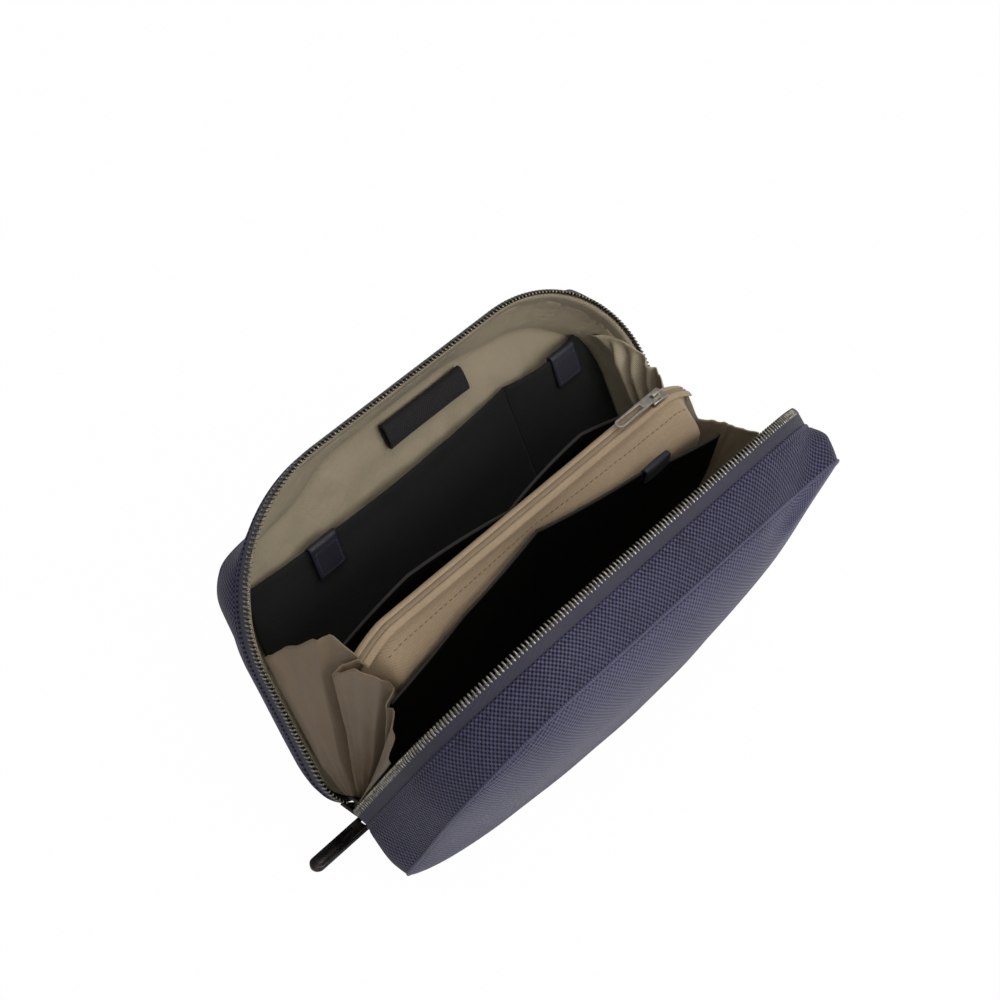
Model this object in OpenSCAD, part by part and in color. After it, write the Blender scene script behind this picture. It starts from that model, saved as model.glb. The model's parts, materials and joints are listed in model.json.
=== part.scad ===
// Zip-round organizer pouch, standing open on a flat surface.
// Two padded fabric halves hinge along a cord at the bottom, a metal zip runs round their mouths,
// pleated gussets stop them opening further, and a zipped divider stands between them.
// Millimetres, +X along the pouch, +Y towards the back half, +Z up, floor at Z = 0.

/* [Half shells] */
// Length of the pouch
body_w = 250; // [220:1:280]
// Height of one half, from the hinge to the top of its mouth
body_h = 144; // [138:1:156]
// Depth of one half at its bottom edge
depth_bottom = 36; // [34:1:42]
// Depth of one half at its top edge
depth_top = 28; // [26:1:32]
// Corner radius at the top of the mouth
top_r = 70; // [50:1:70]
// Corner radius at the bottom of the mouth
bottom_r = 24; // [22:1:33]
// Thickness of the padded side band
wall = 3; // [2.5:0.1:3.2]
// How much lower the face panel's top edge is than the top of the mouth
top_drop = 15; // [8:1:18]
// How much shorter the face panel is than the mouth at each end
side_draft = 3; // [0:0.5:5]
// How far the back half's padded face panel bulges
back_crown = 8; // [6:0.5:12]
// How far the front half's padded face panel bulges
front_crown = 12; // [8:0.5:14]
// Angle by which each half leans out when the pouch stands open
open_angle = 28; // [24:1:32]

/* [Main zip] */
// Pitch of the metal teeth on one side
tooth_pitch = 2.05; // [2:0.05:2.6]
// Length of one tooth along the chain
tooth_w = 1; // [0.8:0.05:1]
// Width of the zip tape that shows beside the teeth
tape_w = 5.6; // [4:0.2:6]
// Length of the puller
pull_l = 35; // [30:1:40]
// Width of the puller
pull_w = 7; // [6.6:0.2:9]

/* [Back pockets] */
// Height of the slip pockets' top edge above the hinge
pocket_h = 100; // [90:1:104]
// Place of the seam that divides the slip pockets
pocket_seam_x = 60; // [40:1:70]
// How far the pockets stand off the wall at the top
pocket_gap = 7; // [5:0.5:8]
// Side of the square leather tabs
tab_size = 16; // [12:1:18]
// Bore of the elastic loop
loop_bore = 11; // [9:0.5:12]
// Length of the elastic loop
loop_l = 50; // [40:1:60]

/* [Divider] */
// Height of the divider's zip above the hinge
divider_h = 92; // [84:1:96]
// Length of the divider
divider_l = 208; // [190:1:208]
// Height of the slip panels on both sides of the divider
slip_h = 88; // [78:1:90]
// Lean of the rear slip panel
slip_rear_angle = 9; // [8:0.5:10]
// Lean of the front slip panel
slip_front_angle = 13; // [11:0.5:14]

/* [Hidden] */
$fn = 64;

// Colours
navy = "#2b2d47";
navy_dark = "#25263c";
tan_cloth = "#8a7a60";
black_cloth = "#1c1c1d";
leather = "#23263a";
gunmetal = "#6f6a5e";
black_metal = "#2a2724";

// The shells' skins, measured inwards from the outline of the mouth
tape_in = 1;            // outer face of the zip tape
tape_t = 1.2;           // thickness of the zip tape
lining_t = 1.2;         // thickness of the lining
facing_in = tape_in + tape_t;
lining_in = wall;
inside_in = wall + lining_t;
tooth_t = 2.4;          // height of a tooth across the tape
tooth_gap = 0.2;        // the teeth stop this far short of the mouth's plane
tooth_y = 3.4;          // where the teeth end and the tape begins
band_y = tooth_y + tape_w;
facing_y = tooth_y + 0.2; // inner edge of the facing
welt_t = 1.6;           // thickness of the welt between band and panel
welt_out = 1;           // how far the welt stands out

// The chain runs along the middle of the tape, from one bottom corner over the top to the other
chain_in = tape_in + tape_t / 2;
low_arc = (bottom_r - chain_in) * PI / 4;
side_run = body_h - top_r - bottom_r;
top_arc = (top_r - chain_in) * PI / 2;
top_run = body_w - 2 * top_r;
chain_l = 2 * (low_arc + side_run + top_arc) + top_run;
chain_z = bottom_r - (bottom_r - chain_in) * sin(45);
chain_x = -body_w / 2 + chain_z;

// The face panel's plane leans by this, because the shell is deeper at the bottom
face_tilt = atan((depth_bottom - depth_top) / body_h);
face_r = top_r - 12;    // corner radius at the top of the face panel
foot_cut = 0.95;        // depth of the flat that the standing edges are pressed to
hinge_z = depth_bottom * sin(open_angle) - foot_cut;
hinge_r = 1.5;
hinge_l = 2 * (body_w / 2 - bottom_r);
clearance = 0.3;
big = 400;

// The slider waits just under the open end of the chain, and its puller lies flat on the floor.
// The puller reaches out at the left end, so the box's middle lies left of the pouch's middle.
slider_x = chain_x + 2.2;
slider_z = chain_z - 6.6;
pull_t = 3;
pull_eye_x = slider_x + 5.6;
pull_eye_z = pull_t / 2 + 0.5 - hinge_z;
left_reach = -pull_eye_x + pull_l;
centre_shift = (left_reach - body_w / 2 - welt_out) / 2;

// Divider and its zip
divider_half = 4.2;     // half the divider's thickness at its zip
divider_lean = atan(divider_half / divider_h);
sheet_t = 0.8;
wall_foot = 16;
coil_w = 4;
coil_h = 1.6;
small_slider_x = 84;
small_slider_l = 9;
small_pull_l = 24;
deck_t = 1.4;

// Gussets: folds of the left one, seen from above at its top edge, from the shell to the divider
gusset_top = 84;
gusset_bottom = 16;
gusset_t = 0.8;
gusset_slope = 38;      // its top edge falls from the divider to the mouth by this
gusset_edge = gusset_top * tan(open_angle) - 1.2;
rear_folds = [[-119.5, gusset_edge], [-116, 24], [-113, 9], [-106.2, 6]];
front_folds = [[-106.2, 5], [-113, 2], [-112.5, -20], [-107, -23], [-112.5, -25.5], [-119.5, -gusset_edge]];

// Slip pockets on the back wall
pocket_foot = 7;
pocket_t = 1;
wall_y = depth_bottom - welt_t / 2 - lining_t;   // inner face of the back wall at the hinge
function wall_at(z) = wall_y - z * tan(face_tilt);
pocket_tilt = atan((wall_at(pocket_foot) - wall_at(pocket_h) + pocket_gap) / (pocket_h - pocket_foot));
pocket_l = (pocket_h - pocket_foot) / cos(pocket_tilt);
tab_t = 1.4;

// Elastic loop and carry strap
loop_t = 0.8;
loop_z = 116.5;
loop_x = -8;
carry_angle = 36;
carry_l = 30;
carry_w = 10;
carry_t = 1.4;
carry_gap = 2.5;

// Frames

// The hinge line at rest, with the whole pouch centred on its own box
module on_hinge() {
    translate([centre_shift, 0, hinge_z]) children();
}

// One half as it stands open: +Y of its own frame points out of the pouch, away from the mouth
module back_pose() {
    on_hinge() rotate([-open_angle, 0, 0]) children();
}

module front_pose() {
    on_hinge() rotate([open_angle, 0, 0]) mirror([0, 1, 0]) children();
}

// What lies under the floor is pressed flat
module on_floor() {
    difference() {
        children();
        translate([-big / 2, -big / 2, -big]) cube(big);
    }
}

// Shapes shared by the two halves

// Upright outline with large top corners and small bottom ones, drawn in by an inset
module outline(w, h, rt, rb, inset) {
    straight = w / 2 - rt;
    low = w / 2 - rb;
    union() {
        translate([-straight, inset]) square([2 * straight, h - 2 * inset]);
        translate([-w / 2 + inset, rb]) square([w - 2 * inset, h - rt - rb]);
        translate([-low, inset]) square([2 * low, rb]);
        for (side = [-1, 1]) {
            translate([side * straight, h - rt]) circle(rt - inset);
            translate([side * low, rb]) circle(rb - inset);
        }
    }
}

// Outline of the mouth
module mouth(inset) {
    outline(body_w, body_h, top_r, bottom_r, inset);
}

// Outline of the face panel, which is lower and a little shorter than the mouth
module face(inset) {
    outline(body_w - 2 * side_draft, body_h - top_drop, face_r, bottom_r, inset);
}

// Extrudes an upright outline from y0 to y1
module prism(y0, y1) {
    translate([0, y1, 0]) rotate([90, 0, 0]) linear_extrude(y1 - y0) children();
}

// A loop of skin between two insets of the mouth
module skin(outer, inner, y0, y1) {
    difference() {
        prism(y0, y1) mouth(outer);
        prism(y0 - 1, y1 + 1) mouth(inner);
    }
}

// The frame of the leaning face panel, with +Y out of the pouch
module face_frame(offset) {
    translate([0, depth_bottom + offset, 0]) rotate([face_tilt, 0, 0]) children();
}

// Solid of one half from its zip tape to its face panel, drawn in by an inset
module half_block(inset) {
    hull($fn = 48) {
        prism(band_y - 1, band_y) mouth(inset);
        face_frame(0) prism(0, welt_t) face(inset);
    }
}

// Everything on the mouth's side of the face plane
module inside_face(offset) {
    intersection() {
        children();
        face_frame(offset) translate([-big / 2, -big / 2, -big / 2]) cube([big, big / 2, big]);
    }
}

// Everything outside the face plane
module outside_face(offset) {
    intersection() {
        children();
        face_frame(offset) translate([-big / 2, 0, -big / 2]) cube([big, big / 2, big]);
    }
}

// The zip runs round three sides only, and stops above the bottom corners
module zip_run() {
    intersection() {
        children();
        translate([-big / 2, -big / 2, chain_z]) cube(big);
    }
}

// Padded face panel: a crowned slab, and the plug that fills the welt's loop
module face_panel(crown) {
    plug_in = wall;
    union() {
        inside_face(welt_t / 2) outside_face(-welt_t / 2)
            prism(depth_top - 2, depth_bottom + 2) face(plug_in);
        face_frame(welt_t / 2) hull($fn = 32) {
            prism(0, 0.8) face(0);
            prism(0, 0.36 * crown) face(4);
            prism(0, 0.68 * crown) face(12);
            prism(0, 0.9 * crown) face(24);
            prism(0, crown) face(42);
        }
    }
}

// Everything from the zip tape outwards
module from_tape() {
    intersection() {
        children();
        translate([-big / 2, band_y, -big / 2]) cube(big);
    }
}

// Side band from the zip tape to the welt, drawn in towards the lower face panel
module side_band() {
    from_tape() inside_face(-welt_t / 2) difference() {
        half_block(0);
        half_block(wall);
    }
}

// Welt sewn between the band and the face panel
module welt() {
    inside_face(welt_t / 2) outside_face(-welt_t / 2) difference() {
        prism(depth_top - 2, depth_bottom + 2) face(-welt_out);
        prism(depth_top - 3, depth_bottom + 3) face(wall);
    }
}

module zip_tape() {
    zip_run() skin(tape_in, facing_in, tooth_y, band_y);
}

module facing() {
    zip_run() skin(facing_in, inside_in, facing_y, band_y);
}

// Lining: a tray of cloth on the inside of the band and the face panel
module lining() {
    from_tape() inside_face(-welt_t / 2) difference() {
        half_block(lining_in);
        inside_face(-welt_t / 2 - lining_t) half_block(inside_in);
    }
}

// Strip of cloth from the band's bottom edge to the hinge cord
module hinge_flap() {
    translate([-hinge_l / 2, hinge_r + clearance, 0]) cube([hinge_l, band_y - hinge_r - clearance, 1.2]);
}

// [x, z, direction] at a distance s along the left half of the chain, measured from its start
function left_chain(s) =
    s < low_arc
    ? let (a = 225 - s / low_arc * 45, r = bottom_r - chain_in)
      [-body_w / 2 + bottom_r + r * cos(a), bottom_r + r * sin(a), a - 90]
    : s < low_arc + side_run
    ? [-body_w / 2 + chain_in, bottom_r + s - low_arc, 90]
    : s < low_arc + side_run + top_arc
    ? let (a = 180 - (s - low_arc - side_run) / top_arc * 90, r = top_r - chain_in)
      [-body_w / 2 + top_r + r * cos(a), body_h - top_r + r * sin(a), a - 90]
    : [-body_w / 2 + top_r + s - low_arc - side_run - top_arc, body_h - chain_in, 0];

function chain_at(s) =
    s <= chain_l / 2
    ? left_chain(s)
    : let (p = left_chain(chain_l - s)) [-p[0], p[1], 180 - p[2]];

// Zip teeth: one block per pitch, along the mouth at the middle of the tape
module zip_teeth(phase) {
    count = floor((chain_l - tooth_pitch) / tooth_pitch);
    for (i = [0:count - 1]) {
        p = chain_at((i + 0.5 + phase) * tooth_pitch);
        translate([p[0], tooth_gap, p[1]]) rotate([0, -p[2], 0])
            translate([-tooth_w / 2, 0, -tooth_t / 2]) cube([tooth_w, tooth_y - tooth_gap, tooth_t]);
    }
}

// Sub-parts of the two halves

module back_panel() { color(navy) on_floor() back_pose() face_panel(back_crown); }
module back_band() { color(navy) on_floor() back_pose() side_band(); }
module back_welt() { color(navy_dark) on_floor() back_pose() welt(); }
module back_zip_tape() { color(navy_dark) back_pose() zip_tape(); }
module back_zip_teeth() { color(gunmetal) back_pose() zip_teeth(0); }
module back_facing() { color(tan_cloth) back_pose() facing(); }
module back_lining() { color(tan_cloth) back_pose() lining(); }
module back_hinge_flap() { color(navy) back_pose() hinge_flap(); }
module front_panel() { color(navy) on_floor() front_pose() face_panel(front_crown); }
module front_band() { color(navy) on_floor() front_pose() side_band(); }
module front_welt() { color(navy_dark) on_floor() front_pose() welt(); }
module front_zip_tape() { color(navy_dark) front_pose() zip_tape(); }
module front_zip_teeth() { color(gunmetal) front_pose() zip_teeth(0.5); }
module front_facing() { color(tan_cloth) front_pose() facing(); }
module front_lining() { color(tan_cloth) front_pose() lining(); }
module front_hinge_flap() { color(navy) front_pose() hinge_flap(); }

// What is sewn to the back wall

// The leaning plane of the slip pockets: its origin is at the pockets' foot, +Y towards the wall
module pocket_frame() {
    translate([0, wall_at(pocket_foot) - pocket_t - clearance, pocket_foot]) rotate([pocket_tilt, 0, 0])
        children();
}

// A flat slip pocket between two places along the wall, trimmed to the lining's sides
module slip_pocket(x0, x1) {
    intersection() {
        pocket_frame() translate([x0, 0, 0]) cube([x1 - x0, pocket_t, pocket_l]);
        prism(0, depth_bottom) face(inside_in + clearance);
    }
}

module back_pocket_left() {
    color(black_cloth) back_pose() slip_pocket(-body_w / 2, pocket_seam_x - clearance);
}

module back_pocket_right() {
    color(black_cloth) back_pose() slip_pocket(pocket_seam_x + clearance, body_w / 2);
}

// Leather tab on a pocket's front face, at its top edge
module pocket_tab(x) {
    pocket_frame() translate([x - tab_size / 2, -tab_t, pocket_l - tab_size])
        cube([tab_size, tab_t, tab_size]);
}

module pocket_tab_left() { color(leather) back_pose() pocket_tab(-62); }
module pocket_tab_right() { color(leather) back_pose() pocket_tab(94); }

// Tube of elastic sewn to the wall above the pockets
module elastic_loop() {
    r = loop_bore / 2 + loop_t;
    color(black_cloth) back_pose()
        translate([loop_x, wall_at(loop_z) - r - 0.6, loop_z]) rotate([0, 90, 0])
            difference() {
                cylinder(h = loop_l, r = r);
                translate([0, 0, -1]) cylinder(h = loop_l + 2, r = loop_bore / 2);
            }
}

// Flat strap on the band's top right corner, sewn down at both ends and standing off between them
module carry_strap() {
    foot = 6;
    color(navy_dark) back_pose() difference() {
        carry_slice(carry_l) half_block(-carry_gap - carry_t);
        half_block(0);
        carry_slice(carry_l - 2 * foot) half_block(-carry_gap);
    }
}

// Slice of a solid across the band's top right corner, as long and wide as the strap
module carry_slice(length) {
    intersection() {
        children();
        translate([body_w / 2 - top_r, band_y + 3, body_h - top_r]) rotate([0, -carry_angle, 0])
            translate([0, 0, -length / 2]) cube([2 * top_r, carry_w, length]);
    }
}

// Hinge and divider

module hinge_cord() {
    color(navy_dark) on_hinge() translate([-hinge_l / 2, 0, 0]) rotate([0, 90, 0])
        cylinder(h = hinge_l, r = hinge_r);
}

// A sheet that stands on the hinge and leans by an angle, from z0 to z1 along itself
module leaning_sheet(angle, length, z0, z1, thickness) {
    on_hinge() rotate([-angle, 0, 0]) translate([-length / 2, -thickness / 2, z0])
        cube([length, thickness, z1 - z0]);
}

module divider_rear_wall() {
    color(tan_cloth) leaning_sheet(divider_lean, divider_l, wall_foot, divider_h - clearance, sheet_t);
}

module divider_front_wall() {
    color(tan_cloth) leaning_sheet(-divider_lean, divider_l, wall_foot, divider_h - clearance, sheet_t);
}

// Two tapes that close the divider's top, with the coil between them
module divider_zip_tape() {
    color(tan_cloth) on_hinge() for (side = [-1, 1])
        translate([-divider_l / 2, side * (coil_w / 2 + 2) - 2, divider_h]) cube([divider_l, 4, 0.8]);
}

module divider_zip_coil() {
    color(tan_cloth) on_hinge() translate([-divider_l / 2, -coil_w / 2, divider_h])
        cube([divider_l, coil_w, coil_h]);
}

// Saddle that rides over the coil, with a bail that holds the small puller
module divider_slider() {
    deck_z = divider_h + coil_h + 0.2;
    color(gunmetal) on_hinge() translate([small_slider_x, 0, deck_z]) union() {
        translate([-small_slider_l / 2, -3.4, 0]) cube([small_slider_l, 6.8, deck_t]);
        for (side = [-1, 1]) {
            translate([-small_slider_l / 2, side * 2.9 - 0.5, -0.7]) cube([small_slider_l, 1, 0.8]);
            translate([side * 1.65 - 0.75, -0.8, deck_t]) cube([1.5, 1.6, 1.6]);
        }
        translate([-2.4, -0.8, deck_t + 1.5]) cube([4.8, 1.6, 0.8]);
    }
}

// Flat stamped puller, lying back along the zip, with its end bar under the bail
module divider_pull() {
    eye_z = divider_h + coil_h + 0.2 + deck_t + 0.75;
    half = 0.45;
    color(gunmetal) on_hinge() translate([small_slider_x, 0, eye_z]) difference() {
        union() {
            translate([-small_pull_l, -2.6, -half]) cube([small_pull_l, 5.2, 2 * half]);
            rotate([90, 0, 0]) cylinder(h = 5.2, r = half, center = true);
            translate([-small_pull_l, 0, -half]) cylinder(h = 2 * half, r = 2.6);
        }
        translate([-3.4, -1.1, -1]) cube([3.4 - half, 2.2, 2]);
        translate([-small_pull_l, 0, -1]) cylinder(h = 2, r = 1.4);
        translate([-small_pull_l, -1.4, -1]) cube([14, 2.8, 2]);
    }
}

// Slip panels on both sides of the divider, with rounded top corners
module slip_panel(angle) {
    corner = 12;
    on_hinge() rotate([-angle, 0, 0]) prism(-pocket_t / 2, pocket_t / 2) union() {
        translate([-divider_l / 2, 12]) square([divider_l, slip_h - corner - 12]);
        translate([-divider_l / 2 + corner, 12]) square([divider_l - 2 * corner, slip_h - 12]);
        for (side = [-1, 1])
            translate([side * (divider_l / 2 - corner), slip_h - corner]) circle(corner);
    }
}

module rear_slip_panel() { color(black_cloth) slip_panel(slip_rear_angle); }
module front_slip_panel() { color(black_cloth) slip_panel(-slip_front_angle); }

module front_slip_tab() {
    color(leather) on_hinge() rotate([slip_front_angle, 0, 0])
        translate([58 - tab_size / 2, -pocket_t / 2 - tab_t, slip_h - tab_size])
            cube([tab_size, tab_t, tab_size]);
}

// Pleated gusset: folds that fan out from the hinge, so they narrow downwards
module gusset(folds) {
    count = len(folds);
    far = [for (i = [count - 1:-1:0]) folds[i] + [gusset_t, 0]];
    narrowing = [1, gusset_bottom / gusset_top];
    difference() {
        translate([0, 0, gusset_top]) mirror([0, 0, 1])
            linear_extrude(gusset_top - gusset_bottom, scale = narrowing, slices = 1, $fn = 4)
                polygon(concat(folds, far));
        for (side = [0, 1])
            mirror([0, side, 0]) translate([-big / 2, 6, gusset_top]) rotate([-gusset_slope, 0, 0])
                cube([big, 80, 80]);
    }
}

module gusset_left_rear() { color(tan_cloth) on_hinge() gusset(rear_folds); }
module gusset_left_front() { color(tan_cloth) on_hinge() gusset(front_folds); }
module gusset_right_rear() { color(tan_cloth) on_hinge() mirror([1, 0, 0]) gusset(rear_folds); }
module gusset_right_front() { color(tan_cloth) on_hinge() mirror([1, 0, 0]) gusset(front_folds); }

// Main slider and its puller

// Two plates round the chain, joined by a post, with a long bail down to the puller
module main_slider() {
    plate_w = 9;
    plate_l = 10;
    color(black_metal) on_hinge() translate([slider_x, 0, slider_z]) rotate([0, 45, 0]) union() {
        translate([-plate_l / 2, -plate_w / 2, 1.6]) cube([plate_l, plate_w, 1.4]);
        translate([-plate_l / 2, -plate_w / 2, -3]) cube([plate_l, plate_w, 1.4]);
        translate([-1, -1.2, -1.8]) cube([4, 2.4, 3.6]);
    }
    color(black_metal) on_hinge() translate([pull_eye_x, 0, pull_eye_z]) difference() {
        union() {
            translate([-1.4, -1.5, -1.4]) cube([4, 3, slider_z - pull_eye_z + 0.4]);
            translate([-5, -1.5, slider_z - pull_eye_z - 5.7]) cube([6, 3, 2]);
        }
        rotate([90, 0, 0]) cylinder(h = 4, r = 0.9, center = true);
    }
}

// The puller's own frame, with +X along the puller from the pin in its eye
module pull_frame_pose() {
    on_hinge() translate([pull_eye_x, 0, pull_eye_z]) mirror([1, 0, 0]) children();
}

// Flat bar with a round end, a forked eye with its pin, and a recess for the inlay
module main_pull_frame() {
    recess = 1;
    color(black_metal) pull_frame_pose() union() {
        difference() {
            union() {
                rotate([90, 0, 0]) cylinder(h = pull_w, r = pull_t / 2, center = true);
                translate([0, -pull_w / 2, -pull_t / 2]) cube([pull_l - pull_w / 2, pull_w, pull_t]);
                translate([pull_l - pull_w / 2, 0, -pull_t / 2]) cylinder(h = pull_t, r = pull_w / 2);
            }
            translate([-4, -1.9, -3]) cube([10.2, 3.8, 6]);
            translate([9, -pull_w / 2 + 1.4, pull_t / 2 - recess])
                cube([pull_l - 9 - pull_w / 2, pull_w - 2.8, 2]);
        }
        rotate([90, 0, 0]) cylinder(h = pull_w - 1, r = 0.7, center = true);
    }
}

// Leather inlay in the puller's recess
module main_pull_inlay() {
    color(leather) pull_frame_pose() translate([9.1, -pull_w / 2 + 1.5, pull_t / 2 - 1])
        cube([pull_l - 9.2 - pull_w / 2, pull_w - 3, 0.9]);
}

hinge_cord();
divider_rear_wall();
divider_front_wall();
divider_zip_tape();
divider_zip_coil();
rear_slip_panel();
front_slip_panel();
front_slip_tab();
gusset_left_rear();
gusset_left_front();
gusset_right_rear();
gusset_right_front();
main_slider();
main_pull_frame();
main_pull_inlay();
divider_slider();
divider_pull();
back_panel();
back_band();
back_welt();
back_zip_tape();
back_zip_teeth();
back_facing();
back_lining();
back_hinge_flap();
back_pocket_left();
back_pocket_right();
pocket_tab_left();
pocket_tab_right();
elastic_loop();
carry_strap();
front_panel();
front_band();
front_welt();
front_zip_tape();
front_zip_teeth();
front_facing();
front_lining();
front_hinge_flap();
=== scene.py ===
import json
import math

import bmesh
import bpy
from mathutils import Matrix, Vector, noise


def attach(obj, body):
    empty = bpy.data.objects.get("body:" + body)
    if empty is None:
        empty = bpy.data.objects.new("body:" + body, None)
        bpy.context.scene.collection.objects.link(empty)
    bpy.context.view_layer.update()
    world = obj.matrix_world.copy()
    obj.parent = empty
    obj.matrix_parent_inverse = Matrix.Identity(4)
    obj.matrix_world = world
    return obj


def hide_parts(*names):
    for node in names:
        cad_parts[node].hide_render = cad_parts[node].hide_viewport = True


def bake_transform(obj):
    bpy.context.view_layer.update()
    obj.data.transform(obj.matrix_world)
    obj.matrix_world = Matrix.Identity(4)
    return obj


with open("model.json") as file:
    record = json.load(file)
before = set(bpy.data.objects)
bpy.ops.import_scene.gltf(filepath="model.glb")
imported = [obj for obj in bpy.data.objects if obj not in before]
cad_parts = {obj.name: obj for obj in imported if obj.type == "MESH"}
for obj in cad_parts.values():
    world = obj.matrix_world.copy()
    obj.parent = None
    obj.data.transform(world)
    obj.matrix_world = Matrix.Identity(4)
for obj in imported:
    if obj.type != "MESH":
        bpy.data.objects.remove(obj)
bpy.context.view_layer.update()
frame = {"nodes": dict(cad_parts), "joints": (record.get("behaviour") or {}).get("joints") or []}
nodes = frame["nodes"]
joint_at = {joint["name"]: Vector(joint["pos_m"]) for joint in frame["joints"] if "pos_m" in joint}
scene = bpy.context.scene
scene.view_settings.view_transform = "Standard"

# Studio: a camera above the left front corner of the pouch, a pale floor without an edge,
# and broad soft lamps. The camera comes first, and everything else is in metres in the row's frame.
MM = 0.001
hinge_at = joint_at["back_hinge"]
camera_from_hinge = Vector((-0.50001, -0.46166, 0.78892))
azimuth, elevation, roll = math.radians(-46.675), math.radians(46.623), math.radians(-2.58)
camera_data = bpy.data.cameras.new("camera")
camera_data.sensor_width = 36
camera_data.lens = 83.33
camera_data.shift_x = -0.01415
camera_data.shift_y = 0.0453
camera_data.clip_end = 20
camera = bpy.data.objects.new("camera", camera_data)
back_axis = Vector((math.sin(azimuth) * math.cos(elevation), -math.cos(azimuth) * math.cos(elevation),
                    math.sin(elevation)))
level_axis = Vector((math.cos(azimuth), math.sin(azimuth), 0))
rise_axis = back_axis.cross(level_axis)
right_axis = level_axis * math.cos(roll) + rise_axis * math.sin(roll)
up_axis = back_axis.cross(right_axis)
camera.matrix_world = Matrix.Translation(hinge_at + camera_from_hinge) @ Matrix(
    (right_axis, up_axis, back_axis)).transposed().to_4x4()
scene.collection.objects.link(camera)
scene.camera = camera

world = bpy.data.worlds.new("studio")
scene.world = world
world.use_nodes = True
sky = world.node_tree.nodes["Background"]
sky.inputs["Color"].default_value = (1, 1, 1, 1)
sky.inputs["Strength"].default_value = 0.32

lamp_aim = Vector((0, 0, 0.06))
for lamp_name, lamp_at, lamp_size, lamp_power in (
    ("lamp_over", (0.1, -0.15, 1.3), 1.1, 6.5),
    ("lamp_left", (-1.1, -0.6, 0.6), 0.9, 2.5),
    ("lamp_front", (0.25, -1.2, 0.7), 1.0, 13.0),
):
    lamp_data = bpy.data.lights.new(lamp_name, "AREA")
    lamp_data.size = lamp_size
    lamp_data.energy = lamp_power
    lamp = bpy.data.objects.new(lamp_name, lamp_data)
    lamp.location = lamp_at
    lamp.rotation_euler = (lamp_aim - Vector(lamp_at)).to_track_quat("-Z", "Y").to_euler()
    scene.collection.objects.link(lamp)


def add_node(tree, kind, inputs=(), **settings):
    """Shader node of a kind. Its inputs, by name or number, are other nodes' outputs or plain values."""
    node = tree.nodes.new("ShaderNode" + kind)
    for name, value in settings.items():
        setattr(node, name, value)
    for key, value in dict(inputs).items():
        if isinstance(value, bpy.types.NodeSocket):
            tree.links.new(value, node.inputs[key])
        else:
            node.inputs[key].default_value = value
    return node


def math_node(tree, operation, *values):
    """Result of an operation on other nodes' outputs or plain numbers."""
    return add_node(tree, "Math", enumerate(values), operation=operation).outputs[0]


floor_mesh = bpy.data.meshes.new("floor")
floor_bm = bmesh.new()
bmesh.ops.create_grid(floor_bm, x_segments=1, y_segments=1, size=6)
floor_bm.to_mesh(floor_mesh)
floor_bm.free()
floor = bpy.data.objects.new("floor", floor_mesh)
scene.collection.objects.link(floor)
glow_share = 0.985
floor_paint = bpy.data.materials.new("floor_paint")
floor_paint.use_nodes = True
floor_tree = floor_paint.node_tree
floor_tree.nodes.clear()
floor_dull = add_node(floor_tree, "BsdfDiffuse", {"Color": (0.86, 0.86, 0.86, 1)})
floor_glow = add_node(floor_tree, "Emission")
floor_path = add_node(floor_tree, "LightPath")
floor_seen = math_node(floor_tree, "MULTIPLY", floor_path.outputs["Is Camera Ray"], glow_share)
floor_mix = add_node(floor_tree, "MixShader",
                     {0: floor_seen, 1: floor_dull.outputs[0], 2: floor_glow.outputs[0]})
add_node(floor_tree, "OutputMaterial", {"Surface": floor_mix.outputs[0]})
floor_mesh.materials.append(floor_paint)

# Side bands: two padded strips of coarse basket-woven nylon, one round each half of the pouch.
# They are cut straight, wider at the bottom, and sewn to the zip tape at one edge.
body_w, body_h = 250.0, 144.0
top_r, bottom_r = 70.0, 24.0
depth_bottom, depth_top = 36.0, 28.0
open_angle = math.radians(28)
band_y = 9.0
top_drop, side_draft, face_r = 15.0, 3.0, 58.0
taper_y = 4.0
floor_gap = 0.2
band_cut, band_turn = 20.4, 0.6
low_run = body_w / 2 - bottom_r
side_run = body_h - top_r - bottom_r
top_run = body_w / 2 - top_r
low_arc = bottom_r * math.pi / 2
top_arc = top_r * math.pi / 2
mouth_length = 2 * (low_run + low_arc + side_run + top_arc + top_run)
place_back = Matrix.Translation(hinge_at) @ Matrix.Rotation(-open_angle, 4, "X") @ Matrix.Scale(MM, 4)
place_front = (Matrix.Translation(hinge_at) @ Matrix.Rotation(open_angle, 4, "X")
               @ Matrix.Scale(-1, 4, (0, 1, 0)) @ Matrix.Scale(MM, 4))
place_spine = Matrix.Translation(hinge_at) @ Matrix.Scale(MM, 4)
halves = (("back", place_back), ("front", place_front))


def ease(low, high, value):
    """Smooth step from 0 at low to 1 at high."""
    share = min(1.0, max(0.0, (value - low) / (high - low)))
    return share * share * (3 - 2 * share)


def hump(share):
    """Half a wave: 0 at both ends and 1 in the middle."""
    return math.sin(math.pi * share)


def sag(x, z):
    """How far the soft bottom corners sink under the pouch's weight."""
    return 5.0 * ease(85, 118, abs(x)) * ease(36, 6, z)


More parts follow.
